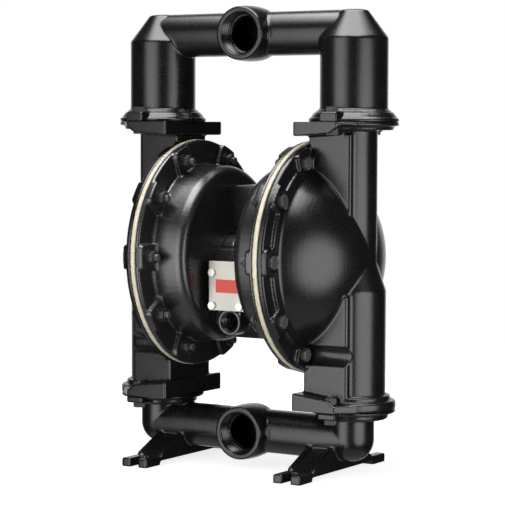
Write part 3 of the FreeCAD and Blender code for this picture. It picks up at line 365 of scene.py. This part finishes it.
class Wardrobe:
    """Builds each finish once and puts it on pieces."""

    def __init__(self) -> None:
        """Build every finish."""
        self.made = {finish: finish.value.material() for finish in Finish}

    def dress(self, piece: bpy.types.Object, finish: Finish) -> None:
        """Give one piece one finish all over, and report it.

        Args:
            piece: The object to dress.
            finish: Its finish.
        """
        slots = piece.material_slots
        if not slots:
            piece.data.materials.append(self.made[finish])
        for slot in slots:
            slot.material = self.made[finish]
        log.info("%s: %s, %d faces", piece.name, finish.value.name, len(piece.data.polygons))

    def dress_nodes(self, finish: Finish, *names: str) -> None:
        """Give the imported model's own nodes one finish.

        Args:
            finish: The finish.
            names: The nodes.
        """
        for name in names:
            self.dress(node_object(name), finish)

    def fit(self, piece: bpy.types.Object, finish: Finish, node: str, stands_in: bool = True) -> None:
        """Finish a modelled piece and tie it to the body that carries a node.

        Args:
            piece: The modelled piece.
            finish: Its finish.
            node: The node whose body it moves with.
            stands_in: Whether the piece is shown in the node's place.
        """
        self.dress(piece, finish)
        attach(piece, node_object(node)["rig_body"])
        if stands_in:
            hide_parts(node)


# Ways of making pieces


@dataclass(frozen=True)
class Moulded:
    """A cast or moulded piece: its node's shape with the small radii that a mould leaves at edges and corners.

    Attributes:
        node: The node that it stands for.
        finish: Its finish.
        grid: Size of the surface grid in millimetres, which sets the least radius.
        passes: How often each point is eased towards its neighbours.
        ease: Share of the way to them that each pass moves it.
        triangles: The most triangles that the piece may have.
    """

    node: str
    finish: Finish
    grid: float = 1.5
    passes: int = 3
    ease: float = 0.5
    triangles: int = 170000

    def build(self, wardrobe: Wardrobe) -> bpy.types.Object:
        """Make the piece.

        Args:
            wardrobe: The finishes.

        Returns:
            The finished piece.
        """
        piece = copied(f"{self.node}_cast", self.node)
        modify(piece, "REMESH", mode="VOXEL", voxel_size=self.grid / MM_PER_M, use_smooth_shade=True)
        modify(piece, "SMOOTH", factor=self.ease, iterations=self.passes)
        # The grid's faces have four corners, so each is two triangles.
        modify(piece, "DECIMATE", ratio=min(1.0, self.triangles / (2 * len(piece.data.polygons))))
        wardrobe.fit(piece, self.finish, self.node)
        return piece


@dataclass(frozen=True)
class Bore:
    """A machined round hole, cut after its casting was moulded, so that its corners are sharp.

    Attributes:
        mouth: Where the hole's axis meets the face, in metres.
        along: Which way it runs.
        radius: Its radius in metres.
        depth: Its depth in metres.
        runout: How far the cutter starts in front of the face, in metres.
        facets: Flat faces round its wall.
    """

    mouth: Vector
    along: Vector
    radius: float
    depth: float
    runout: float = 0.002
    facets: int = 128

    def cut(self, piece: bpy.types.Object) -> None:
        """Cut the hole.

        Args:
            piece: The piece that gets the hole.
        """
        bpy.ops.object.select_all(action="DESELECT")
        middle = self.mouth + self.along * (self.depth - self.runout) / 2
        turned = self.along.to_track_quat("Z", "Y").to_euler()
        bpy.ops.mesh.primitive_cylinder_add(vertices=self.facets, radius=self.radius,
                                            depth=self.depth + self.runout, location=middle, rotation=turned)
        cutter = bpy.context.object
        modify(piece, "BOOLEAN", operation="DIFFERENCE", solver="EXACT", object=cutter)
        bpy.data.objects.remove(cutter, do_unlink=True)


@dataclass(frozen=True)
class Thread:
    """A helical screw thread, as one continuous tooth wound round an axis.

    Attributes:
        name: The piece's name.
        start: Where the thread's axis starts, in metres.
        along: Which way it runs.
        radius: Millimetres from the axis to the wall that the tooth stands on.
        pitch: Millimetres from one turn to the next.
        length: Length of the thread in millimetres.
        tooth: Height of the tooth above the wall in millimetres. Its section goes as deep into the wall.
        steps: Sections in one turn.
        foot: Half the width of the tooth's foot, as a share of the pitch.
        corners: Corners of the tooth's section.
    """

    name: str
    start: Vector
    along: Vector
    radius: float
    pitch: float
    length: float
    tooth: float
    steps: int
    foot: float = 0.42
    corners: int = 4

    def build(self) -> bpy.types.Object:
        """Wind the tooth.

        Returns:
            The thread, with its turns in place.
        """
        bpy.ops.object.select_all(action="DESELECT")
        bpy.ops.mesh.primitive_circle_add(vertices=self.corners, radius=1.0, fill_type="NOTHING",
                                          rotation=(math.pi / 2, 0, 0))
        piece = bpy.context.object
        piece.name = self.name
        bpy.ops.object.transform_apply(location=False, rotation=True, scale=False)
        bpy.ops.object.mode_set(mode="EDIT")
        bpy.ops.mesh.select_all(action="SELECT")
        bpy.ops.transform.resize(value=(self.tooth / MM_PER_M, 1, self.foot * self.pitch / MM_PER_M),
                                 center_override=(0, 0, 0))
        bpy.ops.transform.translate(value=(self.radius / MM_PER_M, 0, 0))
        bpy.ops.object.mode_set(mode="OBJECT")
        turns = max(1, round((self.length - self.pitch) / self.pitch))
        modify(piece, "SCREW", axis="Z", angle=2 * math.pi, screw_offset=self.pitch / MM_PER_M,
               iterations=turns, steps=self.steps, render_steps=self.steps, use_smooth_shade=False)
        # The first tooth's middle lies half a pitch along, so that the thread stays behind its start.
        piece.matrix_world = (Matrix.Translation(self.start + self.along * self.pitch / (2 * MM_PER_M))
                              @ self.along.to_track_quat("Z", "Y").to_matrix().to_4x4())
        bpy.ops.object.transform_apply(location=True, rotation=True, scale=True)
        weld(piece, ends=self.corners)
        return piece


# Sub-assemblies


@dataclass(frozen=True)
class Manifold:
    """A pipe with a threaded port, two legs and, on the lower one, two feet.

    Attributes:
        node: The casting's node.
        height: Height of the pipe's axis in metres.
        port_face: Distance of the port's face in front of the pipe's axis, in metres.
        bore: Radius of the port's thread in millimetres.
        thread_pitch: Pitch of the port's thread in millimetres.
        thread_length: Length of the port's thread in millimetres.
        thread_start: How far behind the port's face the thread starts, in metres.
        thread_tooth: Height of the thread's tooth in millimetres.
        thread_steps: Sections in one turn of the thread.
    """

    node: str
    height: float
    port_face: float = 0.045
    bore: float = 28.3
    thread_pitch: float = 2.21
    thread_length: float = 17.5
    thread_start: float = 0.0015
    thread_tooth: float = 0.9
    thread_steps: int = 96

    def build(self, wardrobe: Wardrobe) -> None:
        """Make the casting and cut its port's thread.

        Args:
            wardrobe: The finishes.
        """
        Moulded(self.node, Finish.CAST_IRON).build(wardrobe)
        start = Vector((0, self.thread_start - self.port_face, self.height))
        thread = Thread(f"{self.node}_thread", start, TO_BACK, self.bore, self.thread_pitch,
                        self.thread_length, self.thread_tooth, self.thread_steps).build()
        wardrobe.fit(thread, Finish.CAST_IRON, self.node, stands_in=False)


@dataclass(frozen=True)
class FluidEnd:
    """One chamber's fluid side: cap with its tower, two ball checks and the bolts round its rim.

    Attributes:
        side: Which side of the pump.
        stud: Radius of the chamber bolts in millimetres.
        stud_pitch: Pitch of their thread in millimetres.
        stud_thread: Length of the thread that shows past each nut, in millimetres.
        stud_tooth: Height of the thread's tooth in millimetres.
        stud_steps: Sections in one turn of the thread.
    """

    side: str
    stud: float = 5.0
    stud_pitch: float = 1.5
    stud_thread: float = 5.0
    stud_tooth: float = 0.35
    stud_steps: int = 24

    def build(self, wardrobe: Wardrobe) -> None:
        """Make the cap, dress the ball checks and thread the bolt ends.

        Args:
            wardrobe: The finishes.
        """
        side = self.side
        Moulded(f"fluid_cap_{side}", Finish.CAST_IRON).build(wardrobe)
        wardrobe.dress_nodes(Finish.CREAM_ELASTOMER, f"inlet_ball_{side}", f"outlet_ball_{side}")
        wardrobe.dress_nodes(Finish.GROUND_STEEL, f"inlet_seat_{side}", f"outlet_seat_{side}")
        wardrobe.dress_nodes(Finish.GRAY_STEEL, f"chamber_bolts_{side}")
        wardrobe.dress_nodes(Finish.BLACK_STEEL, f"chamber_nuts_{side}")
        self.stud_threads(wardrobe)

    def stud_threads(self, wardrobe: Wardrobe) -> None:
        """Wind a thread on the end of every chamber bolt.

        Args:
            wardrobe: The finishes.
        """
        node = f"chamber_bolts_{self.side}"
        inward = Vector((-SIDES[self.side], 0, 0))
        for place, (low, high) in enumerate(solids_of(node)):
            tip = min(low.x, high.x, key=lambda x: x * SIDES[self.side])
            end = Vector((tip, (low.y + high.y) / 2, (low.z + high.z) / 2))
            start = end - inward * self.stud_thread / MM_PER_M
            thread = Thread(f"{node}_thread_{place}", start, inward, self.stud, self.stud_pitch,
                            self.stud_thread, self.stud_tooth, self.stud_steps).build()
            wardrobe.fit(thread, Finish.BLACK_STEEL, node, stands_in=False)


@dataclass(frozen=True)
class AirEnd:
    """One chamber's air side: dished cap, its gasket and screws, the diaphragm and its washers.

    Attributes:
        side: Which side of the pump.
    """

    side: str

    def build(self, wardrobe: Wardrobe) -> None:
        """Make the air cap and the diaphragm, and dress the rest.

        Args:
            wardrobe: The finishes.
        """
        side = self.side
        Moulded(f"air_cap_{side}", Finish.CAST_ALUMINIUM, triangles=140000).build(wardrobe)
        Moulded(f"diaphragm_{side}", Finish.CREAM_ELASTOMER, grid=1.6, triangles=90000).build(wardrobe)
        wardrobe.dress_nodes(Finish.CREAM_ELASTOMER, f"diaphragm_hub_{side}")
        wardrobe.dress_nodes(Finish.SHEET_GASKET, f"air_cap_gasket_{side}")
        wardrobe.dress_nodes(Finish.ZINC_STEEL, f"air_cap_screws_{side}", f"washer_bolt_{side}")
        wardrobe.dress_nodes(Finish.GROUND_STEEL, f"inner_washer_{side}", f"outer_washer_{side}")


@dataclass(frozen=True)
class CentreSection:
    """The body between the air caps, with its bearings, seals, air inlet, exhaust and fittings.

    Attributes:
        inlet_face: Distance of the air inlet's face in front of the centre plane, in metres.
        inlet_height: Height of the air inlet's axis in metres.
        inlet_bore: Radius of the air inlet's thread in millimetres.
        inlet_pitch: Pitch of the air inlet's thread in millimetres.
        inlet_length: Length of the air inlet's thread in millimetres.
        inlet_start: How far behind the air inlet's face the thread starts, in metres.
        inlet_tooth: Height of the thread's tooth in millimetres.
        inlet_steps: Sections in one turn of the thread.
    """

    inlet_face: float = 0.068
    inlet_height: float = 0.205
    inlet_bore: float = 13.0
    inlet_pitch: float = 1.81
    inlet_length: float = 16.0
    inlet_start: float = 0.0015
    inlet_tooth: float = 0.7
    inlet_steps: int = 64

    def build(self, wardrobe: Wardrobe) -> None:
        """Make the body and the air inlet's thread, and dress what the body holds.

        Args:
            wardrobe: The finishes.
        """
        Moulded("center_body", Finish.CAST_ALUMINIUM, grid=1.2).build(wardrobe)
        start = Vector((0, self.inlet_start - self.inlet_face, self.inlet_height))
        thread = Thread("air_inlet_thread", start, TO_BACK, self.inlet_bore, self.inlet_pitch,
                        self.inlet_length, self.inlet_tooth, self.inlet_steps).build()
        wardrobe.fit(thread, Finish.CAST_ALUMINIUM, "center_body", stands_in=False)
        for side in SIDES:
            wardrobe.dress_nodes(Finish.ACETAL, f"rod_bush_{side}", f"pilot_guide_{side}")
            wardrobe.dress_nodes(Finish.NITRILE, f"rod_seal_{side}")
        wardrobe.dress_nodes(Finish.GROUND_STEEL, "pilot_sleeve", "pilot_rod", "diaphragm_rod")
        wardrobe.dress_nodes(Finish.MOULDED_PLASTIC, "exhaust_muffler")
        wardrobe.dress_nodes(Finish.GRAY_STEEL, "body_plug")
        wardrobe.dress_nodes(Finish.BRASS, "air_fitting")


@dataclass(frozen=True)
class AirValve:
    """The main valve block with its gaskets, pale end plate, screws, plain red label, sleeve and spool.

    Attributes:
        mouth: Middle of the block's bore in its front face, in metres.
        piston_bore: Radius of the bore for the spool's head, in metres.
        piston_room: Depth of that bore in metres.
        sleeve_bore: Radius of the bore for the sleeve, in metres.
        block_depth: Depth of the block in metres.
        past: How far the sleeve's bore is cut past the block's back, in metres.
    """

    mouth: Point = (0.0, -0.0698, 0.251)
    piston_bore: float = 0.01902
    piston_room: float = 0.014
    sleeve_bore: float = 0.01702
    block_depth: float = 0.023
    past: float = 0.002

    def build(self, wardrobe: Wardrobe) -> None:
        """Make the block and dress the rest.

        Args:
            wardrobe: The finishes.
        """
        block = Moulded("valve_block", Finish.CAST_ALUMINIUM, grid=1.0, passes=2).build(wardrobe)
        Bore(Vector(self.mouth), TO_BACK, self.sleeve_bore, self.block_depth + self.past).cut(block)
        Bore(Vector(self.mouth), TO_BACK, self.piston_bore, self.piston_room).cut(block)
        wardrobe.dress_nodes(Finish.SHEET_GASKET, "valve_block_gasket", "valve_end_gasket")
        wardrobe.dress_nodes(Finish.SATIN_ALUMINIUM, "valve_end_cap")
        wardrobe.dress_nodes(Finish.ZINC_STEEL, "valve_end_screws")
        wardrobe.dress_nodes(Finish.RED_ENAMEL, "label_plate")
        wardrobe.dress_nodes(Finish.GROUND_STEEL, "valve_sleeve")
        wardrobe.dress_nodes(Finish.ACETAL, "valve_spool")


@dataclass(frozen=True)
class JointHardware:
    """Bolts, nuts and seals of the four joints between manifolds and towers.

    Attributes:
        levels: The two heights at which the joints lie.
    """

    levels: tuple[str, ...] = ("upper", "lower")

    def build(self, wardrobe: Wardrobe) -> None:
        """Dress the joints' pieces.

        Args:
            wardrobe: The finishes.
        """
        for level in self.levels:
            wardrobe.dress_nodes(Finish.BLACK_STEEL, f"joint_bolts_{level}", f"joint_nuts_{level}")
        wardrobe.dress_nodes(Finish.NITRILE, "inlet_seat_seals", "outlet_seat_seals")


# The studio


@dataclass(frozen=True)
class Softbox:
    """A soft light that fades towards its edges: panels of falling size, one in front of another.

    Attributes:
        name: What it is called.
        azimuth: Degrees from -Y towards +X.
        elevation: Degrees above level, less than zero below it.
        wide: Width of its middle panel as seen from the pump, in degrees.
        high: Height of its middle panel as seen from the pump, in degrees.
        radiance: How bright its middle is, where a white surface in full light is one.
        distance: Metres from the pump's middle.
        spread: Sizes of its panels, as parts of the middle one's.
        disc: Whether its panels are round.
        glossy: Whether it shows in reflections.
        diffuse: Whether it lights matt surfaces.
        panel_gap: Metres from one panel to the next.
    """

    name: str
    azimuth: float
    elevation: float
    wide: float
    high: float
    radiance: float
    distance: float = 2.2
    spread: tuple[float, ...] = (1.32, 1.0, 0.64)
    disc: bool = False
    glossy: bool = True
    diffuse: bool = True
    panel_gap: float = 0.02

    def build(self, target: Vector) -> None:
        """Add the panels, aimed at a point.

        Args:
            target: What they point at.
        """
        way = outwards(self.azimuth, self.elevation)
        for place, part in enumerate(self.spread):
            data = bpy.data.lights.new(f"{self.name} {place}", "AREA")
            data.shape = "ELLIPSE" if self.disc else "RECTANGLE"
            data.size = 2 * self.distance * math.tan(math.radians(self.wide / 2)) * part
            data.size_y = 2 * self.distance * math.tan(math.radians(self.high / 2)) * part
            area = data.size * data.size_y * (math.pi / 4 if self.disc else 1.0)
            data.energy = self.radiance / len(self.spread) * math.pi * area
            lamp = bpy.data.objects.new(data.name, data)
            bpy.context.collection.objects.link(lamp)
            lamp.location = target + way * (self.distance - self.panel_gap * place)
            lamp.rotation_mode = "QUATERNION"
            lamp.rotation_quaternion = (-way).to_track_quat("-Z", "Y")
            lamp.visible_camera = False
            lamp.visible_glossy = self.glossy
            lamp.visible_diffuse = self.diffuse


@dataclass(frozen=True)
class Studio:
    """Floor, pale surroundings, soft lights and the camera.

    Attributes:
        target: What the soft lights point at, in metres.
        eye: Where the camera stands, in metres.
        azimuth: The camera's degrees from -Y towards +X.
        elevation: The camera's degrees above level.
        roll: The camera's turn about its own line of sight, in degrees.
        lens: Its focal length in millimetres.
        sensor: Width of its sensor in millimetres.
        clip: The nearest and farthest that it sees, in metres.
        fill: Brightness of the dim room, where one is white.
        backdrop: How squarely backwards a reflected ray runs where the white behind the pump starts, and
            where it is full.
        bounce: Brightness of the floor's glow in reflections.
        glow_edge: How steeply down a reflected ray runs where that glow starts, and where it is full.
        floor_half: Half the floor's side in metres.
        floor_drop: How far the floor lies under the feet, in metres.
        floor_fade: Metres from the pump at which the floor's own light starts to rise, and where it is full.
        floor_light: The floor's own light near the pump and far from it.
        lamps: The soft lights.
    """

    target: Point = (0.0, 0.0, 0.30)
    eye: Point = (1.50169, -2.40595, 0.47724)
    azimuth: float = 32.048
    elevation: float = 3.625
    roll: float = 0.197
    lens: float = 144.87
    sensor: float = 36.0
    clip: tuple[float, float] = (0.05, 60.0)
    fill: float = 0.032
    backdrop: tuple[float, float] = (0.80, 0.90)
    bounce: float = 0.42
    glow_edge: tuple[float, float] = (-0.62, -0.78)
    floor_half: float = 1.6
    floor_drop: float = 0.0003
    floor_fade: tuple[float, float] = (0.30, 0.75)
    floor_light: tuple[float, float] = (0.80, 1.0)
    lamps: tuple[Softbox, ...] = (
        Softbox("left softbox", -12, -7, 41, 60, 3.7, 1.5),
        Softbox("right softbox", 71, -6, 49, 49, 3.8, 1.2, (1.18, 1.0, 0.8), disc=True),
        Softbox("overhead softbox", 12, 86, 54, 54, 9.4, 2.0, (1.2, 1.0, 0.8), diffuse=False),
        Softbox("overhead wash", -90, 70, 54, 54, 2.0, 2.4, glossy=False),
        Softbox("room bounce", 10, 20, 60, 50, 0.5, 2.5, glossy=False),
    )

    def camera(self) -> None:
        """Set the camera where the photograph was taken from."""
        back = outwards(self.azimuth, self.elevation)
        a, turn = math.radians(self.azimuth), math.radians(self.roll)
        level = Vector((math.cos(a), math.sin(a), 0.0))
        upright = level.cross(-back)
        across = level * math.cos(turn) + upright * math.sin(turn)
        up = upright * math.cos(turn) - level * math.sin(turn)
        data = bpy.data.cameras.new("photo camera")
        data.sensor_width = self.sensor
        data.lens = self.lens
        data.clip_start, data.clip_end = self.clip
        camera = bpy.data.objects.new("photo camera", data)
        bpy.context.collection.objects.link(camera)
        axes = Matrix((across, up, back)).transposed().to_4x4()
        camera.matrix_world = Matrix.Translation(Vector(self.eye)) @ axes
        bpy.context.scene.camera = camera

    def surroundings(self) -> None:
        """Make the world.

        The camera and clear pieces see white all round. Reflections see white behind the pump, the pale
        floor's glow when they look steeply down, and a dim room elsewhere. The dim room also lights matt
        surfaces.
        """
        world = bpy.data.worlds.new("pale studio")
        world.use_nodes = True
        tree = world.node_tree
        tree.nodes.clear()
        bpy.context.scene.world = world
        path = add_node(tree, "ShaderNodeLightPath")
        way = add_node(tree, "ShaderNodeTexCoord").outputs["Generated"]
        turned = add_node(tree, "ShaderNodeVectorRotate", {"Vector": way, "Axis": (0, 0, 1),
                                                           "Angle": -math.radians(self.azimuth)})
        parts = add_node(tree, "ShaderNodeSeparateXYZ", {0: turned.outputs[0]})
        behind = add_node(tree, "ShaderNodeMapRange", {"Value": parts.outputs["Y"],
                                                       "From Min": self.backdrop[0],
                                                       "From Max": self.backdrop[1]})
        below = add_node(tree, "ShaderNodeMapRange", {"Value": parts.outputs["Z"],
                                                      "From Min": self.glow_edge[0],
                                                      "From Max": self.glow_edge[1], "To Max": self.bounce})
        reflected = path.outputs["Is Glossy Ray"]
        backwards = add_node(tree, "ShaderNodeMath", {0: reflected, 1: behind.outputs[0]}, operation="MULTIPLY")
        downwards = add_node(tree, "ShaderNodeMath", {0: reflected, 1: below.outputs[0]}, operation="MULTIPLY")
        mirrored = add_node(tree, "ShaderNodeMath", {0: backwards.outputs[0], 1: downwards.outputs[0]},
                            operation="MAXIMUM")
        clear = add_node(tree, "ShaderNodeMath", {0: path.outputs["Is Camera Ray"],
                                                  1: path.outputs["Is Transmission Ray"]}, operation="MAXIMUM")
        white = add_node(tree, "ShaderNodeMath", {0: mirrored.outputs[0], 1: clear.outputs[0]},
                         operation="MAXIMUM")
        room = add_node(tree, "ShaderNodeBackground", {"Color": linear("ffffff"), "Strength": self.fill})
        paper = add_node(tree, "ShaderNodeBackground", {"Color": linear("ffffff"), "Strength": 1.0})
        both = add_node(tree, "ShaderNodeMixShader", {0: white.outputs[0], 1: room.outputs[0],
                                                      2: paper.outputs[0]})
        add_node(tree, "ShaderNodeOutputWorld", {"Surface": both.outputs[0]})

    def floor(self) -> None:
        """Lay a pale floor that keeps the pump's shadow."""
        bpy.ops.object.select_all(action="DESELECT")
        bpy.ops.mesh.primitive_plane_add(size=2 * self.floor_half, location=(0, 0, -self.floor_drop))
        ground = bpy.context.object
        ground.name = "studio_floor"
        made = bpy.data.materials.new("white paper sweep")
        made.use_nodes = True
        tree = made.node_tree
        tree.nodes.clear()
        path = add_node(tree, "ShaderNodeLightPath")
        clear = add_node(tree, "ShaderNodeMath", {0: path.outputs["Is Camera Ray"],
                                                  1: path.outputs["Is Transmission Ray"]}, operation="MAXIMUM")
        spot = add_node(tree, "ShaderNodeTexCoord").outputs["Object"]
        away = add_node(tree, "ShaderNodeVectorMath", {0: spot}, operation="LENGTH")
        rise = add_node(tree, "ShaderNodeMapRange", {"Value": away.outputs["Value"],
                                                     "From Min": self.floor_fade[0],
                                                     "From Max": self.floor_fade[1],
                                                     "To Min": self.floor_light[0],
                                                     "To Max": self.floor_light[1]})
        # The camera sees paper as bright as the surroundings, with the shadow on it. For light that bounces
        # it is plain gray paper, which doesn't brighten the pump from below.
        lit = add_node(tree, "ShaderNodeBsdfDiffuse", {"Color": linear("c8c8c8")})
        glow = add_node(tree, "ShaderNodeEmission", {"Color": linear("ffffff"),
                                                     "Strength": rise.outputs["Result"]})
        bright = add_node(tree, "ShaderNodeAddShader", {0: lit.outputs[0], 1: glow.outputs[0]})
        dull = add_node(tree, "ShaderNodeBsdfDiffuse", {"Color": linear("6a6a6a")})
        both = add_node(tree, "ShaderNodeMixShader", {0: clear.outputs[0], 1: dull.outputs[0],
                                                      2: bright.outputs[0]})
        add_node(tree, "ShaderNodeOutputMaterial", {"Surface": both.outputs[0]})
        ground.data.materials.append(made)
        # The side softboxes reach below the floor, so it neither shades them nor hides them in reflections.
        ground.visible_glossy = False
        ground.visible_shadow = False

    def build(self) -> None:
        """Make the whole studio."""
        self.camera()
        self.surroundings()
        self.floor()
        for lamp in self.lamps:
            lamp.build(Vector(self.target))
        bpy.context.scene.view_settings.view_transform = "Standard"


# The whole pump

SubAssembly = Manifold | FluidEnd | AirEnd | CentreSection | AirValve | JointHardware


@dataclass(frozen=True)
class Pump:
    """The whole pump, as the sub-assemblies that it comes apart into.

    Attributes:
        parts: The sub-assemblies, in the order in which they are built.
    """

    parts: tuple[SubAssembly, ...] = (
        Manifold("inlet_manifold", height=0.0483), Manifold("outlet_manifold", height=0.6014),
        FluidEnd("right"), FluidEnd("left"), AirEnd("right"), AirEnd("left"),
        CentreSection(), AirValve(), JointHardware(),
    )

    def build(self, wardrobe: Wardrobe) -> None:
        """Build every sub-assembly in order.

        Args:
            wardrobe: The finishes.
        """
        for part in self.parts:
            log.info("building %s", type(part).__name__)
            part.build(wardrobe)


def main() -> None:
    """Build the pump and then the studio."""
    logging.basicConfig(level=logging.INFO, format="%(message)s")
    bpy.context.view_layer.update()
    Pump().build(Wardrobe())
    Studio().build()


if __name__ == "__main__":
    main()
